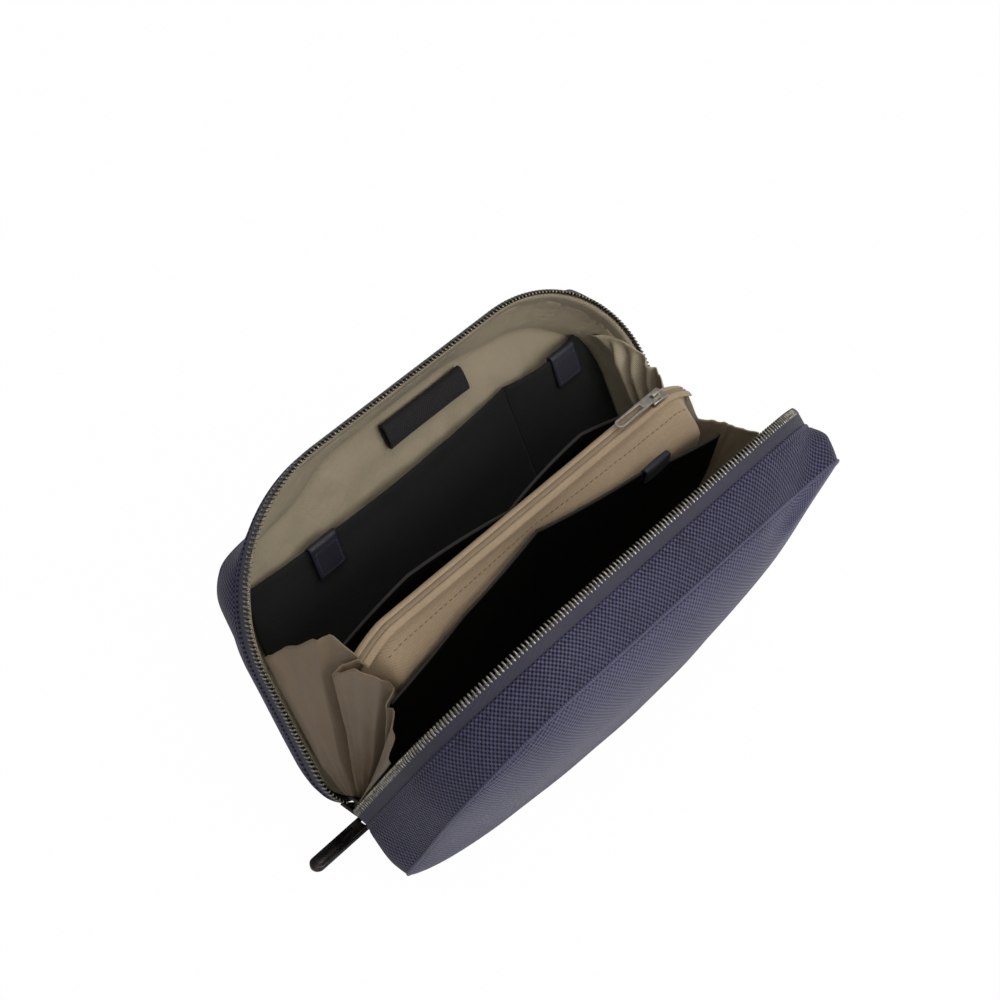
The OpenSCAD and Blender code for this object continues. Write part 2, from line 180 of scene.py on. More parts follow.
def mouth(u, taper=0.0):
    """Point (x, z) and outward direction, a share u round the mouth (taper 0) or the lower face (taper 1)."""
    wide = body_w / 2 - side_draft * taper
    high = body_h - top_drop * taper
    corner = top_r + (face_r - top_r) * taper
    runs = (wide - bottom_r, low_arc, high - corner - bottom_r, corner * math.pi / 2, wide - corner)
    way = (u % 1.0) * 2 * sum(runs)
    side = 1.0 if way <= sum(runs) else -1.0
    way = min(way, 2 * sum(runs) - way)
    if way < runs[0]:
        point, out = (-way, 0.0), (0.0, -1.0)
    elif way < sum(runs[:2]):
        turn = 1.5 * math.pi - (way - runs[0]) / bottom_r
        out = (math.cos(turn), math.sin(turn))
        point = (-runs[0] + bottom_r * out[0], bottom_r + bottom_r * out[1])
    elif way < sum(runs[:3]):
        point, out = (-wide, bottom_r + way - sum(runs[:2])), (-1.0, 0.0)
    elif way < sum(runs[:4]):
        turn = math.pi - (way - sum(runs[:3])) / corner
        out = (math.cos(turn), math.sin(turn))
        point = (-runs[4] + corner * out[0], high - corner + corner * out[1])
    else:
        point, out = (-runs[4] + way - sum(runs[:4]), high), (0.0, 1.0)
    return (point[0] * side, point[1] - sag(*point)), (out[0] * side, out[1])


def settle(spot, half):
    """One soft end of each half leans in towards its face and keeps a blunt corner where its side turns."""
    end, lean, corner = (-1, 8.0, 0.5) if half == "back" else (1, 8.0, 4.8)
    out = Vector((end * spot.x - top_run, 0, max(0.0, spot.z - body_h + top_r))).normalized()
    low = ease(110, 84, spot.z) * ease(60, 118, end * spot.x)
    high = ease(112, 128, spot.z) * ease(35, 80, end * spot.x)
    shift = lean * (low + 1.3 * high) * min(1.1, max(0.0, (spot.y - band_y) / 24))
    blunt = ease(84, 102, spot.z) * ease(126, 110, spot.z) * ease(80, 112, end * spot.x)
    shift -= corner * blunt * ease(band_y, 20, spot.y)
    foot = 0.0
    if end > 0:
        foot = 3.0 * ease(70, 110, -end * spot.x) * ease(40, 8, spot.z) * ease(10, 30, spot.y)
    return spot - Vector((end * (out.x * shift + foot), 0, out.z * shift))


def rim(u, y, inset):
    """Point of a half at depth y, drawn in by an inset, on the shell that narrows from zip to face."""
    seam = seam_y(mouth(u, 1.0)[0][1])
    point, out = mouth(u, min(1.15, max(0.0, (y - taper_y) / (seam - taper_y))))
    return Vector((point[0] - out[0] * inset, y, point[1] - out[1] * inset))


def seam_y(z):
    """Depth of the seam between band and face panel at a height."""
    return depth_bottom - (depth_bottom - depth_top) * z / body_h


def ripple(x, y, z, size):
    """Soft uneven waves, from -1 to 1, about size millimetres long."""
    return noise.noise(Vector((x / size, y / size, z / size)))


def cloth_grid(columns, rows, spot, width, height):
    """Flat grid whose points are moved to spot(u, v), in millimetres, with its UV map in metres."""
    bm = bmesh.new()
    uv = bm.loops.layers.uv.new("UVMap")
    bmesh.ops.create_grid(bm, x_segments=columns, y_segments=rows, size=0.5)
    for face in bm.faces:
        for loop in face.loops:
            loop[uv].uv = ((loop.vert.co.x + 0.5) * width * MM, (loop.vert.co.y + 0.5) * height * MM)
    for vert in bm.verts:
        vert.co = spot(vert.co.x + 0.5, vert.co.y + 0.5)
    bmesh.ops.remove_doubles(bm, verts=bm.verts, dist=0.01)
    return bm


def piece(name, bm, place, material, body, thickness=0.0, offset=-1.0, even=True, on_floor=False):
    """Object from a bmesh in millimetres, set in its place, with its cloth's thickness and its finish."""
    if body in ("back_half", "front_half"):
        for vert in bm.verts:
            vert.co = settle(vert.co, body[:-5])
    bmesh.ops.transform(bm, matrix=place, verts=bm.verts)
    if place.determinant() < 0:
        bmesh.ops.reverse_faces(bm, faces=bm.faces)
    if on_floor:
        for vert in bm.verts:
            vert.co.z = max(vert.co.z, floor_gap * MM)
    mesh = bpy.data.meshes.new(name)
    bm.to_mesh(mesh)
    bm.free()
    mesh.shade_smooth()
    mesh.materials.append(material)
    obj = bpy.data.objects.new(name, mesh)
    scene.collection.objects.link(obj)
    if thickness:
        skin = obj.modifiers.new("skin", "SOLIDIFY")
        skin.thickness = thickness * MM
        skin.offset = offset
        skin.use_even_offset = even
    if body:
        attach(obj, body)
    return obj


def new_surface(name, values):
    """New material, with its node tree and its shader, which gets the values given."""
    material = bpy.data.materials.new(name)
    material.use_nodes = True
    shader = material.node_tree.nodes["Principled BSDF"]
    for key, value in values.items():
        shader.inputs[key].default_value = value
    return material, material.node_tree, shader


def clouds(tree, scale, detail, distortion=0.0):
    """Soft noise over the piece's own coordinates."""
    where = add_node(tree, "TexCoord").outputs["Object"]
    haze = {"Vector": where, "Scale": scale, "Detail": detail, "Distortion": distortion}
    return add_node(tree, "TexNoise", haze).outputs["Fac"]


def colour_ramp(tree, value, dark, light, low=0.0, high=1.0):
    """Colour that runs from dark at a low value to light at a high one."""
    ramp = add_node(tree, "ValToRGB", {"Fac": value})
    for stop, stop_at, colour in zip(ramp.color_ramp.elements, (low, high), (dark, light)):
        stop.position = stop_at
        stop.color = (*colour, 1)
    return ramp.outputs["Color"]


def vary_gloss(tree, shader, value, slope, roughness):
    """Roughness that rises or falls with a value."""
    tree.links.new(math_node(tree, "MULTIPLY_ADD", value, slope, roughness), shader.inputs["Roughness"])


def emboss(tree, shader, height, strength, depth):
    """Fine relief that follows a height, its depth in metres."""
    bump = add_node(tree, "Bump", {"Height": height, "Strength": strength, "Distance": depth})
    tree.links.new(bump.outputs["Normal"], shader.inputs["Normal"])


# Basket weave: threads over and under each other on the piece's own UV map, in threads per metre.
# Height is high on the threads and low in the hole of every other crossing, Tone an uneven dye.
# The cloths take their colour from Height too, so the holes get painted shade.
weave = bpy.data.node_groups.new("woven_threads", "ShaderNodeTree")
for socket_name, kind, way in (("Vector", "Vector", "INPUT"), ("Threads", "Float", "INPUT"),
                               ("Height", "Float", "OUTPUT"), ("Tone", "Float", "OUTPUT")):
    weave.interface.new_socket(name=socket_name, in_out=way, socket_type="NodeSocket" + kind)
weave_in = weave.nodes.new("NodeGroupInput")
weave_out = weave.nodes.new("NodeGroupOutput")
weave_scale = add_node(weave, "VectorMath", operation="SCALE",
                       inputs={0: weave_in.outputs["Vector"], "Scale": weave_in.outputs["Threads"]})
weave_split = add_node(weave, "SeparateXYZ", {0: weave_scale.outputs[0]})
cell_u, cell_v = [math_node(weave, "FLOOR", weave_split.outputs[way]) for way in "XY"]
arch_u, arch_v = [
    math_node(weave, "SINE", math_node(weave, "MULTIPLY", math_node(weave, "FRACT", way), math.pi))
    for way in (weave_split.outputs["X"], weave_split.outputs["Y"])
]
over = math_node(weave, "FLOORED_MODULO", math_node(weave, "ADD", cell_u, cell_v), 2.0)
hole = math_node(weave, "POWER", math_node(weave, "MULTIPLY", arch_u, arch_v), 0.55)
ridge = math_node(weave, "MULTIPLY", math_node(weave, "ADD", arch_u, arch_v), 0.14)
sunk = math_node(weave, "MULTIPLY", math_node(weave, "MULTIPLY", hole, over), 1.3)
raised = math_node(weave, "SUBTRACT", math_node(weave, "ADD", ridge, 0.8), sunk)
weave.links.new(raised, weave_out.inputs["Height"])
weave_cell = add_node(weave, "CombineXYZ", {"X": cell_u, "Y": cell_v})
weave_dye = add_node(weave, "TexWhiteNoise", {"Vector": weave_cell.outputs[0]}, noise_dimensions="2D")
weave.links.new(weave_dye.outputs["Value"], weave_out.inputs["Tone"])


def cloth_material(name, dark, light, threads, relief, roughness, sheen, creases=0.0, specular=0.3,
                   hem=None):
    """Woven cloth, light on top of its threads and dark with painted shade in the holes between them, with
    soft creases.
    A hem is the height on the UV map where the folded edge starts, and that edge's colour."""
    material, tree, shader = new_surface(
        name, {"Sheen Weight": sheen, "Sheen Roughness": 0.45, "Specular IOR Level": specular})
    where = add_node(tree, "UVMap", uv_map="UVMap").outputs["UV"]
    woven = add_node(tree, "Group", {"Vector": where, "Threads": threads}, node_tree=weave)
    height = woven.outputs["Height"]
    # Colour: painted shade from the weave's height, an uneven dye per crossing, and soft patches of tone.
    lift = math_node(tree, "ADD", math_node(tree, "MULTIPLY", height, 0.62),
                     math_node(tree, "MULTIPLY", woven.outputs["Tone"], 0.16))
    shade = math_node(tree, "ADD", lift, math_node(tree, "MULTIPLY", clouds(tree, 45, 4), 0.25))
    colour = colour_ramp(tree, shade, dark, light, 0.35, 0.9)
    if hem:
        hem_start, hem_colour = hem
        across = add_node(tree, "SeparateXYZ", {0: where})
        folded = math_node(tree, "GREATER_THAN", across.outputs["Y"], hem_start)
        edging = add_node(tree, "Mix", data_type="RGBA",
                          inputs={"Factor": folded, "A": colour, "B": (*hem_colour, 1)})
        colour = edging.outputs["Result"]
    tree.links.new(colour, shader.inputs["Base Color"])
    vary_gloss(tree, shader, height, -0.12, roughness)
    if creases:
        height = math_node(tree, "MULTIPLY_ADD", clouds(tree, 38, 3, 1.2), creases / relief, height)
    emboss(tree, shader, height, 0.8, relief * MM)
    return material


# Its dark colour is painted shade in the holes of the coarse weave.
ballistic = cloth_material("ballistic_nylon", (0.003, 0.0027, 0.009), (0.052, 0.05, 0.1), 900, 0.5, 0.6, 0.02,
                           specular=0.2)


def band_spot(u, v):
    """The band swells a little between its seams, and its edge is turned in and sewn down at the zip."""
    point = mouth(u)[0]
    long = seam_y(mouth(u, 1.0)[0][1]) - 0.2 - band_y + band_turn
    way = min(1.0, max(0.0, v)) * long
    depth = band_y - band_turn + way
    swell = max(0.0, hump(way / long)) ** 0.7 + 0.45 * ripple(point[0], depth, point[1], 34)
    turned = 2.2 * max(0.0, 1 - way / 1.4) ** 2 + 0.45 * math.exp(-((way - 2.7) / 0.5) ** 2)
    return rim(u, depth, turned - swell * min(1.0, way / 6))


for half, place in halves:
    band = piece(half + "_side_band", cloth_grid(360, 40, band_spot, mouth_length, band_cut), place,
                 ballistic, half + "_half", thickness=2.4, on_floor=True)
    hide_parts(half + "_band")

# Face panels: padded covers of the same nylon, crowned by their foam and sewn to the bands.
# The front one is stuffed fuller, and its dome falls off towards both ends.
# A lighter copy of the bands' nylon: painted light for the brighter light the panels catch.
panel_cloth_painted_light = cloth_material("panel_nylon_painted_light", (0.016, 0.0155, 0.036), (0.068, 0.0655, 0.124), 900, 0.3, 0.62,
                             0.1)
spine_half, spine_z = 60.0, 64.0
panel_in, panel_rise = 0.3, 0.4
crowns = {"back": (8.0, 0.0, 0.0), "front": (16.5, 0.4, 0.68)}


def panel_spot(crown, left, right):
    """Dome of a padded cover: its height in the middle, and the share of it that is lost towards each end."""
    def spot(u, v):
        point, out = mouth(u, 1.0)
        edge = Vector((point[0] - out[0] * panel_in, 0, point[1] - out[1] * panel_in))
        heart = Vector((max(-spine_half, min(spine_half, point[0])), 0, spine_z))
        share = v ** 1.25
        flat = edge.lerp(heart, share)
        full = (1 - (1 - min(share / 0.62, 1.0)) ** 2.2) ** 0.66
        wave = 0.5 * ripple(flat.x, 3, flat.z, 30) * min(1, 5 * share)
        stuffed = crown * (1 - (right if flat.x > 0 else left) * (flat.x / 100) ** 2)
        return Vector((flat.x, seam_y(flat.z) + panel_rise + stuffed * full + wave, flat.z))
    return spot


def dome_grid(columns, rows, spot):
    """Cloth grid of a dome, with a UV map that runs straight out from its heart, true to length.
    The plain grid's map counts columns and rows, to find each point in the chart."""
    chart = {}
    for column in range(columns + 1):
        spoke = [spot(column / columns, row / rows) for row in range(rows + 1)]
        heart = Vector((spoke[-1].x, spoke[-1].z))
        out = (Vector((spoke[0].x, spoke[0].z)) - heart).normalized()
        reach = 0.0
        for row in range(rows, -1, -1):
            reach += (spoke[row] - spoke[min(row + 1, rows)]).length
            chart[column, row] = (heart + out * reach) * MM
    bm = cloth_grid(columns, rows, spot, columns / MM, rows / MM)
    uv = bm.loops.layers.uv.active
    for face in bm.faces:
        for loop in face.loops:
            loop[uv].uv = chart[round(loop[uv].uv.x), round(loop[uv].uv.y)]
    return bm


for half, place in halves:
    panel = piece(half + "_face_panel", dome_grid(300, 36, panel_spot(*crowns[half])), place, panel_cloth_painted_light,
                  half + "_half", thickness=1.4, on_floor=True)
    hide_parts(half + "_panel")

# Seam welts: the narrow rolled edge where a band and a face panel are sewn together.
# Each is a strip of plainer twill, folded round the seam's raw edge.
welt_cloth = cloth_material("welt_twill", (0.02, 0.02, 0.04), (0.085, 0.083, 0.15), 1500, 0.15, 0.6, 0.1)
welt_r, welt_cut = 0.85, 6.3


def welt_spot(u, v):
    point, out = mouth(u, 1.0)
    turn = 2 * math.pi * v
    bulge = welt_r * (1 + 0.12 * ripple(point[0] * 3, 7, point[1] * 3, 20))
    inset = 0.4 - bulge * math.cos(turn)
    depth = seam_y(point[1]) + 0.1 - bulge * math.sin(turn)
    return Vector((point[0] - out[0] * inset, depth, point[1] - out[1] * inset))


for half, place in halves:
    welt = piece(half + "_seam_welt", cloth_grid(360, 10, welt_spot, mouth_length, welt_cut), place,
                 welt_cloth, half + "_half", on_floor=True)
    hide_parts(half + "_welt")

# Zip tapes: woven navy twill along the mouth of each half, with the teeth on the free edge.
# The other edge is sewn in under the band's turned edge.
tape_cloth = cloth_material("zip_tape_twill", (0.0145, 0.0137, 0.024), (0.041, 0.039, 0.063), 2200, 0.12,
                            0.75, 0.05)
tape_y, tape_w, tape_in = 2.4, 7.6, 1.3
chain_start = (low_run + low_arc / 2) / mouth_length
chain_end = 1 - chain_start


def along_chain(u):
    return chain_start + u * (chain_end - chain_start)


def tape_spot(u, v):
    return rim(along_chain(u), tape_y + tape_w * v, tape_in)


for half, place in halves:
    tape = piece(half + "_tape", cloth_grid(300, 4, tape_spot, mouth_length, tape_w), place, tape_cloth,
                 half + "_half", thickness=0.9, offset=0.0)
    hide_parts(half + "_zip_tape")

# Zip teeth: cast metal blocks clamped on the tapes' edges, one per pitch, offset between the halves.
# Each has a head that narrows towards the other row and shoulders that are rounded by tumbling.
tooth_pitch = 2.05
tooth_half_w, tooth_half_l, tooth_half_h = 0.64, 2.05, 1.05
tooth_in = 1.6
first_tooth = {"back": 0.75, "front": 1.25}


def metal_material(name, colour, worn, roughness, scale):
    """Metal with cloudy polish: the colour wears lighter in spots and the gloss varies with it."""
    material, tree, shader = new_surface(name, {"Metallic": 1.0})
    polish = clouds(tree, scale, 5)
    tree.links.new(colour_ramp(tree, polish, colour, worn, 0.35, 0.7), shader.inputs["Base Color"])
    vary_gloss(tree, shader, polish, 0.25, roughness)
    emboss(tree, shader, polish, 0.25, 0.1 * MM)
    return material


tooth_metal = metal_material("antique_nickel", (0.1, 0.092, 0.076), (0.36, 0.34, 0.29), 0.1, 700)
tooth_bm = bmesh.new()
bmesh.ops.create_uvsphere(tooth_bm, u_segments=12, v_segments=8, radius=1)
for vert in tooth_bm.verts:
    vert.co = Vector([math.copysign(abs(side) ** 0.65, side) for side in vert.co])
    head = 1 - 0.3 * max(0.0, -vert.co.y)
    x, y, z = vert.co
    vert.co = Vector((tooth_half_w * head * x, tooth_half_l * y, tooth_half_h * head * z))


def add_tooth(bm, u):
    """One tooth: a tumbled bar along the depth, fullest in the middle and drawn in at its head."""
    out = mouth(u)[1]
    stand = Matrix.Translation(rim(u, tape_y, tooth_in)) @ Matrix.Rotation(math.atan2(out[0], out[1]), 4, "Y")
    made = {vert: bm.verts.new(stand @ vert.co) for vert in tooth_bm.verts}
    for face in tooth_bm.faces:
        bm.faces.new([made[vert] for vert in face.verts])


chain_l = (chain_end - chain_start) * mouth_length
tooth_count = int(chain_l / tooth_pitch) - 1
for half, place in halves:
    teeth_bm = bmesh.new()
    for number in range(tooth_count):
        way = (number + first_tooth[half]) * tooth_pitch
        add_tooth(teeth_bm, along_chain(way / chain_l))
    teeth = piece(half + "_teeth", teeth_bm, place, tooth_metal, half + "_half")
    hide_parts(half + "_zip_teeth")
tooth_bm.free()

# Facings: soft tan strips on the inside of the zip tapes, so the teeth don't scratch.
# Each is folded to a round edge near the teeth and sewn to its tape and to the lining.
facing_cloth = cloth_material("tan_facing", (0.16, 0.13, 0.086), (0.38, 0.316, 0.216), 2400, 0.12, 0.6, 0.1)
slider_gap, fold_share = 0.03, 0.3
facing_y, facing_w, facing_cut = 4.6, 8.5, 15.0


def facing_spot(u, v):
    """Wraps from behind the tape, round a soft edge near the teeth, and down to the lining.
    It stops short of the slider."""
    where = along_chain(slider_gap + (1 - slider_gap) * u)
    turn = min(1.0, v / fold_share)
    depth = facing_y - 1.4 * hump(turn)
    if v >= fold_share:
        depth = facing_y + (v - fold_share) / (1 - fold_share) * facing_w
    inset = 2.2 + 1.8 * (1 - math.cos(math.pi * turn)) / 2
    point = mouth(where)[0]
    return rim(where, depth, inset + 0.3 * ripple(point[0], depth, point[1], 14))


for half, place in halves:
    facing = piece(half + "_facing_strip", cloth_grid(300, 14, facing_spot, mouth_length, facing_cut), place,
                   facing_cloth, half + "_half", thickness=0.5)
    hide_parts(half + "_facing")

# Linings: trays of thin tan nylon that cover the inside of each half.
# They are sewn in at the facings, gathered down the sides, and loose enough to wrinkle.
lining_cloth = cloth_material("tan_lining", (0.19, 0.156, 0.104), (0.45, 0.378, 0.26), 3000, 0.1, 0.5, 0.1,
                              creases=1.6)
lining_in, lining_y, lining_off = 3.9, 8.0, 1.6
lining_cut, side_share = 95.0, 0.3
corner_slack = 5.0


def lining_spot(u, v):
    """Down the side from the facing, where it is gathered, and over the back wall, where it hangs loose."""
    point, out = mouth(u, 1.0)
    corner_y = seam_y(point[1]) - lining_off
    drawn = corner_slack * ease(84, 116, point[1]) * ease(30, 70, abs(point[0]))
    if v < side_share:
        share = v / side_share
        depth = lining_y + share * (corner_y - lining_y)
        belly = hump(share)
        fold = math.sin(u * mouth_length / 1.7 + 3 * ripple(point[0], 4, point[1], 30))
        gathers = abs(1.5 * fold * belly * (1 - share))
        loose = 1.6 * abs(ripple(point[0], depth, point[1], 20)) * belly
        return rim(u, depth, lining_in + loose + gathers + drawn * ease(0.2, 1, share))
    share = (v - side_share) / (1 - side_share)
    inset = lining_in + drawn
    edge = Vector((point[0] - out[0] * inset, 0, point[1] - out[1] * inset))
    heart = Vector((max(-spine_half, min(spine_half, edge.x)), 0, spine_z))
    flat = edge.lerp(heart, share)
    loose = 2.2 * abs(ripple(flat.x, 9, flat.z, 24)) + 1.1 * ripple(flat.x, 5, flat.z, 9)
    sunk = loose * hump(min(1, 3 * share) / 2)
    return Vector((flat.x, seam_y(flat.z) - lining_off - sunk, flat.z))


for half, place in halves:
    lining = piece(half + "_lining_tray", cloth_grid(280, 44, lining_spot, mouth_length, lining_cut), place,
                   lining_cloth, half + "_half", thickness=0.4)
    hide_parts(half + "_lining")

# Hinge: a cord covered in navy twill along the bottom, which both halves turn about.
# A strip of nylon is sewn from each band's edge to it.
hinge_half = low_run
flap_half = hinge_half + 8.0
cord_r, flap_start, flap_over = 1.4, 1.42, 0.7


def cord_spot(u, v):
    turn = 2 * math.pi * v
    return Vector(((u - 0.5) * 2 * flap_half, cord_r * math.cos(turn), cord_r * math.sin(turn)))


cord_piece = piece("hinge_piping", cloth_grid(120, 12, cord_spot, 2 * flap_half, 9), place_spine, tape_cloth,
                   "spine")
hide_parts("hinge_cord")


def flap_spot(u, v):
    """Flat along the cord; its ends follow the first stretch of the band's round corners."""
    x = (u - 0.5) * 2 * flap_half
    y = flap_start + v * (band_y + flap_over - flap_start)
    past = max(0.0, abs(x) - hinge_half)
    lift = (bottom_r - math.sqrt(bottom_r ** 2 - past ** 2) - sag(x, 0)) * v
    return Vector((x, y, 0.7 + lift + 0.5 * hump(v) + 0.15 * ripple(x, y, 0, 12)))


for half, place in halves:
    flap = piece(half + "_hinge_strip", cloth_grid(140, 6, flap_spot, 2 * flap_half, 8), place, ballistic,
                 half + "_half", thickness=0.9, offset=0.0)
    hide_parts(half + "_hinge_flap")

# Slip pockets on the back wall: a black stretch panel from end to end, sewn down at one upright seam.
# Its hemmed top edge stands off the wall between the seams.
pocket_cloth = cloth_material("black_stretch", (0.004, 0.004, 0.004), (0.018, 0.018, 0.0174), 2600, 0.12,
                              0.85, 0.03, specular=0.15)
pocket_h, pocket_foot, pocket_seam_x, pocket_gap = 100.0, 6.0, 60.0, 7.0
pocket_dip, pocket_off, pocket_curve = 1.5, 0.6, 1.3
pocket_half, pocket_cut = 120.0, 94.0
wall_off = 2.4


def wall_y(z):
    """Depth of the lined back wall at a height."""
    return seam_y(z) - wall_off


def half_width(z, inset, taper=1.0):
    """Half the shell's width at a height, drawn in by an inset, at its face (taper 1) or mouth (taper 0)."""
    wide, high = body_w / 2 - side_draft * taper, body_h - top_drop * taper
    corner = top_r + (face_r - top_r) * taper
    if z < bottom_r:
        return wide - bottom_r + math.sqrt(max(0.0, (bottom_r - inset) ** 2 - (bottom_r - z) ** 2))
    if z > high - corner:
        return wide - corner + math.sqrt(max(0.0, (corner - inset) ** 2 - (z - high + corner) ** 2))
    return wide - inset


def pocket_spot(left, right):
    def spot(u, v):
        top = pocket_h - pocket_dip * hump(u)
        z = pocket_foot + v * (top - pocket_foot)
        reach = half_width(z, 5.2)
        low = max(4.5 - reach, left)
        high = min(reach, right)
        x = low + u * (high - low)
        stand = 0.22 + 0.78 * hump(u) ** 0.6
        gap = pocket_off + pocket_gap * stand * v ** pocket_curve
        pulled = 0.35 * ripple(x, z, 11, 16) * v
        hem = 0.5 if v > 0.955 else 0.0
        return Vector((x, wall_y(z) - gap - pulled - hem, z))
    return spot


for pocket_name, left, right, cut_w, cut_area in (("left", -body_w, pocket_seam_x, 0.172, 0.01586),
                                                  ("right", pocket_seam_x, body_w, 0.062, 0.00524)):
    wide = min(right, pocket_half) - max(left, -pocket_half)
    pocket_bm = cloth_grid(90, 46, pocket_spot(left, right), wide, pocket_cut)
    pocket = piece("back_slip_pocket_" + pocket_name, pocket_bm, place_back, pocket_cloth, "back_half",
                   thickness=0.9, offset=0.0)
    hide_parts("back_pocket_" + pocket_name)

# Leather tabs: small squares of navy leather, folded over the pockets' edges.
# Each is sewn down round its border with dark thread.
tab_size, tab_cut = 16.0, 26.0
tab_off, stitch_off, tail = 1.25, 1.75, 6.0
front_share, back_share = 0.62, 0.8
stitch_size, stitch_pitch = (1.15, 0.36, 0.3), 1.7
tab_leather, tree, shader = new_surface("navy_leather", {"Specular IOR Level": 0.45})
where = add_node(tree, "TexCoord").outputs["Object"]
pebbles = add_node(tree, "TexVoronoi", {"Vector": where, "Scale": 1500}).outputs["Distance"]
leather_dye = colour_ramp(tree, clouds(tree, 160, 2), (0.004, 0.0045, 0.009), (0.012, 0.013, 0.023))
tree.links.new(leather_dye, shader.inputs["Base Color"])
vary_gloss(tree, shader, pebbles, 0.25, 0.38)
emboss(tree, shader, pebbles, 0.5, 0.12 * MM)
thread = cloth_material("sewing_thread", (0.012, 0.012, 0.022), (0.045, 0.046, 0.07), 5000, 0.05, 0.6, 0.1)


def add_stitches(bm, corners, inset, lift):
    """Short raised stitches along the border of a four-cornered flap."""
    bm.loops.layers.uv.verify()
    normal = (corners[1] - corners[0]).cross(corners[3] - corners[0]).normalized()
    middle = sum(corners, Vector()) / 4
    ring = [corner + (middle - corner).normalized() * inset * 1.414 for corner in corners]
    for start, end in zip(ring, ring[1:] + ring[:1]):
        run = end - start
        count = int(run.length / stitch_pitch)
        for number in range(count):
            made = bmesh.ops.create_cube(bm, size=1)["verts"]
            bmesh.ops.scale(bm, vec=stitch_size, verts=made)
            edges = list({edge for vert in made for edge in vert.link_edges})
            made = bmesh.ops.bevel(bm, geom=edges, offset=0.1, segments=1, profile=0.5, affect="EDGES",
                                   material=-1)["verts"]
            along = run.normalized()
            across = normal.cross(along)
            spot = start + run * ((number + 0.5) / count) + normal * lift
            turn = Matrix((along, across, normal)).transposed().to_4x4()
            bmesh.ops.transform(bm, matrix=Matrix.Translation(spot) @ turn, verts=made)


def leather_tab(name, node, place, body, edge_at, foot_at, x, facing):
    """Tab folded over an edge: down its front to foot_at, over the top, and a short way down behind.
    Its front looks to the depth side that facing, 1 or -1, names."""
    edge = Vector((x, *edge_at))
    foot = Vector((x, *foot_at))
    down = (foot - edge).normalized()
    front = Vector((1, 0, 0)).cross(down).normalized() * facing
    long = (foot - edge).length

    def spot(u, v):
        side = Vector(((u - 0.5) * tab_size, 0, 0))
        off = front * (tab_off + 0.25 * hump(u))
        if v < front_share:
            return foot + side - down * (long * v / front_share) + off
        if v < back_share:
            turn = math.pi * (v - front_share) / (back_share - front_share)
            return edge + side + off * math.cos(turn) - down * tab_off * math.sin(turn)
        return edge + side - off + down * (v - back_share) / (1 - back_share) * tail

    tab = piece(name, cloth_grid(14, 30, spot, tab_size, tab_cut), place, tab_leather, body,
                thickness=1.0, offset=0.0)
    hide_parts(node)
    stitch_bm = bmesh.new()
    half = Vector((tab_size / 2, 0, 0))
    top = edge + front * stitch_off + down
    low = foot + front * stitch_off
    corners = [top - half, top + half, low + half, low - half]
    if facing < 0:
        corners.reverse()
    add_stitches(stitch_bm, corners, 1.6, 0.12)
    stitches = piece(name + "_stitches", stitch_bm, place, thread, body)


def pocket_face(z):
    """Depth of the slip pocket's front where it stands off most, at a height."""
    share = (z - pocket_foot) / (pocket_h - pocket_dip - pocket_foot)
    return wall_y(z) - pocket_off - pocket_gap * share ** pocket_curve - 0.45


for tab_name, x in (("left", -62), ("right", 94)):
    leather_tab("pocket_tab_" + tab_name + "_leather", "pocket_tab_" + tab_name, place_back, "back_half",
                (pocket_face(98.3), 98.6), (pocket_face(84), 84), x, -1)

# Elastic loop: a flat tunnel of wide black elastic on the back wall, open at both ends.
# It is sewn to the lining above the slip pockets.
elastic_cloth = cloth_material("black_elastic", (0.006, 0.0055, 0.0055), (0.024, 0.0225, 0.0225), 1500, 0.2,
                               0.75, 0.05, specular=0.2)
loop_x, loop_l, loop_z, loop_cut = -8.0, 50.0, 116.5, 38.0
loop_off, loop_half_t, loop_half_h = 2.6, 1.8, 5.4


def loop_spot(u, v):
    x = loop_x + u * loop_l
    turn = 2 * math.pi * v
    flare = 1 + 0.06 * (abs(u - 0.5) * 2) ** 4
    deep = math.copysign(abs(math.cos(turn)) ** 0.6, math.cos(turn))
    high = math.copysign(abs(math.sin(turn)) ** 0.75, math.sin(turn))
    y = wall_y(loop_z) - loop_off + loop_half_t * deep * flare
    return Vector((x, y, loop_z + loop_half_h * high * flare))


loop_piece = piece("elastic_tunnel", cloth_grid(60, 40, loop_spot, loop_l, loop_cut), place_back,
                   elastic_cloth, "back_half", thickness=0.8, offset=0.0)
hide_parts("elastic_loop")

# Carry strap: a short flat strap of navy nylon webbing on the top right corner of the back band.
# It is sewn flat at both ends and stands off the band between them.
webbing = cloth_material("navy_webbing", (0.016, 0.016, 0.03), (0.08, 0.08, 0.13), 900, 0.3, 0.7, 0.15)
strap_angle, strap_l, strap_w = math.radians(36), 30.0, 10.0
strap_y, strap_off, strap_gap = band_y + 3, 1.6, 2.5
strap_middle = 1 - (low_run + low_arc + side_run + top_r * strap_angle) / mouth_length


def strap_spot(u, v):
    """Follows the band's slope."""
    end = abs(u - 0.5) * 2
    lift = strap_off + strap_gap * (1 - max(0.0, (end - 0.6) / 0.4) ** 2)
    return rim(strap_middle + (0.5 - u) * strap_l / mouth_length, strap_y + v * strap_w, -lift)


strap = piece("carry_webbing", cloth_grid(60, 10, strap_spot, strap_l, strap_w), place_back, webbing,
              "back_half", thickness=1.3, offset=0.0)
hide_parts("carry_strap")

# Divider: a flat tan pouch between the halves, closed along its top by a zip.
# Its two nylon walls meet near the hinge and stand about 8 mm apart at the zip.
tan_cloth = cloth_material("tan_nylon", (0.23, 0.166, 0.103), (0.51, 0.374, 0.238), 3000, 0.1, 0.5, 0.1,
                           creases=0.8)
divider_h, divider_half_l, wall_foot = 92.0, 104.0, 12.0
divider_half, wall_cut = 3.6, 80.0
divider_l = 2 * divider_half_l


